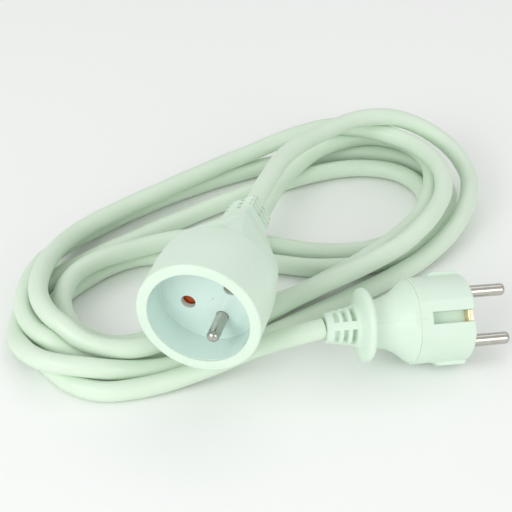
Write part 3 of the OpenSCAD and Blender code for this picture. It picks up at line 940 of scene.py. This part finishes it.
def grip_reach(t, column):
    """Outside radius of the grip at t mm behind the plug's face."""
    quarter, kind, place = column
    on_waist = t < WAIST_END
    reach = through(WAIST_SIDE if on_waist else COLLAR_SIDE, t)
    if kind == "spine":
        on_line = on_waist and quarter % 2 == 1 and abs(place) < LINE_HALF
        return reach - LINE_DEPTH if on_line else reach
    cuts = [soft_step(0, EDGE_SOFT, RELIEF_SLOT_T / 2 - abs(t - row)) for row in RELIEF_ROWS]
    return reach + (RELIEF_CORE_R - reach) * max(cuts)


def grip_point(column, reach):
    """A column's x and y at radius reach, kept within the plug's flats."""
    ease = 0.6
    quarter, kind, place = column
    if kind == "spine":
        x, y = math.sqrt(reach * reach - place * place), place
    else:
        start = math.asin(SPINE_HALF / reach)
        a = start + place * (math.pi / 2 - 2 * start)
        x, y = reach * math.cos(a), reach * math.sin(a)
    for _ in range(quarter % 4):
        x, y = -y, x
    if abs(y) > FLAT_HALF - ease:
        y = math.copysign(smooth_min(abs(y), FLAT_HALF, ease), y)
    return x, y


def plug_grip():
    """Waist, finger collar and strain relief, with three rows of slots between four spines."""
    shape = Shape()
    columns = grip_columns()

    def ring(t, inset=0, reach=None):
        points = [grip_point(c, reach or grip_reach(t, c) - inset) for c in columns]
        return shape.ring((x, y, -t) for x, y in points)

    rings = [ring(FRONT_LEN + along, inset=short) for along, short in round_steps(0.35, 4)]
    rings += [ring(t) for t in spread(FRONT_LEN + 0.6, WAIST_END, 24) + spread(37.1, 44.2, 36)]
    for row in RELIEF_ROWS:
        for edge in (row - RELIEF_SLOT_T / 2, row + RELIEF_SLOT_T / 2):
            rings += [ring(edge + d) for d in (-0.13, -0.06, 0, 0.06, 0.13)]
        rings.insert(-5, ring(row))
        rings.append(ring(row + RELIEF_SLOT_T))
    for along, short in reversed(round_steps(0.6, 5)):
        rings.append(ring(PLUG_LEN - along, inset=short))
    inside = [
        (PLUG_LEN, BORE_R + 0.3), (PLUG_LEN - 0.3, BORE_R), (CLAMP_BACK, BORE_R), (CLAMP_BACK, CLAMP_R),
        (SPACE_BACK, CLAMP_R), (SPACE_BACK, SPACE_R), (FRONT_LEN, SPACE_R),
    ]  # fmt: skip
    rings += [ring(t, reach=r) for t, r in inside]
    shape.skin(rings, closed=True)
    return finish_piece("plug_grip", shape, ON_PLUG, WHITE, ["plug_grip"], sharp_deg=38)


def plug_pins():
    """The two pins, live and neutral."""
    pins = []
    for side, node in ((-1, "plug_live_pin"), (1, "plug_neutral_pin")):
        shape = Shape()
        round_pin(shape, (side * POLE, 0), base=-5.5, length=19, nose=1.9, blunt=2.5)
        pins.append(finish_piece(node.replace("plug_", "pin_"), shape, ON_PLUG, PIN_NICKEL, [node]))
    return pins


def bent_strip(name, path, thickness, node):
    """A strip of metal bent along (y, z) points in the plug's middle plane, with eased edges and bends."""
    shape = Shape()
    line = []
    for k, (y, z) in enumerate(path):
        here = Vector((y, z))
        if k in (0, len(path) - 1):
            line.append(here)
            continue
        before, after = Vector(path[k - 1]) - here, Vector(path[k + 1]) - here
        reach = min(1, 0.45 * min(before.length, after.length))
        a, b = here + before.normalized() * reach, here + after.normalized() * reach
        line += [a * (1 - t) ** 2 + here * 2 * t * (1 - t) + b * t * t for t in spread(0, 1, 7)]
    ease = 0.12
    half, thick = CLIP_W / 2, thickness / 2
    corners = [(half, thick), (-half, thick), (-half, -thick), (half, -thick)]
    section = rounded([(x, y, ease) for x, y in corners], 3)
    rings = []
    for k, p in enumerate(line):
        forward = (line[min(k + 1, len(line) - 1)] - line[max(k - 1, 0)]).normalized()
        out = Vector((-forward.y, forward.x))
        rings.append(shape.ring((x, p.x + out.x * d, p.y + out.y * d) for x, d in section))
    shape.skin(rings)
    shape.cap(rings[0])
    shape.cap(rings[-1])
    # The clips' tan material is painted shade and reflection on nickel strips.
    return finish_piece(name, shape, ON_PLUG, STRIP_PAINTED_SHADE, [node])


def earth_clips():
    """The strip that turns into the body behind the near slot, and the bowed one in the far slot."""
    near_y, far_y = -FLAT_HALF + 1, FAR_SLOT_FLOOR + 0.45
    hook = [(near_y, -0.85), (near_y, -2.5), (-8, -2.5)]
    bow = [(far_y, -0.9), (far_y + 0.3, -5), (far_y + 0.3, -12), (far_y, -16.4)]
    near = bent_strip("clip_near", hook, 0.75, "plug_near_clip")
    return [near, bent_strip("clip_far", bow, 0.7, "plug_far_clip")]


plug_pieces = [plug_front(), plug_grip(), *plug_pins(), *earth_clips()]


# ---------- CAD nodes that stay ----------

CAD_MATERIALS = {
    "socket_carrier": GREY,
    "shutter": RED,
    "shutter_pin": STEEL,
    "shutter_spring": STEEL,
    "socket_live_contact": BRASS,
    "socket_neutral_contact": BRASS,
    "plug_earth_sleeve": BRASS,
    "socket_sheath_end": SHEATH,
    "plug_sheath_end": SHEATH,
    "socket_live_core": LIVE,
    "plug_live_core": LIVE,
    "socket_neutral_core": NEUTRAL,
    "plug_neutral_core": NEUTRAL,
    "socket_earth_core": EARTH,
    "plug_earth_core": EARTH,
}
for node, material in CAD_MATERIALS.items():
    kept = frame["nodes"][node]
    kept.data.materials.clear()
    kept.data.materials.append(material)

eased = frame["nodes"]["shutter"].modifiers.new("eased_edges", "BEVEL")
eased.width = 0.15 * MM
eased.segments = 3
eased.limit_method = "ANGLE"
eased.angle_limit = math.radians(40)

on_the_cord = ["plug_earth_sleeve", "plug_sheath_end"]
on_the_cord += ["plug_live_core", "plug_neutral_core", "plug_earth_core"]
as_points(cord_path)
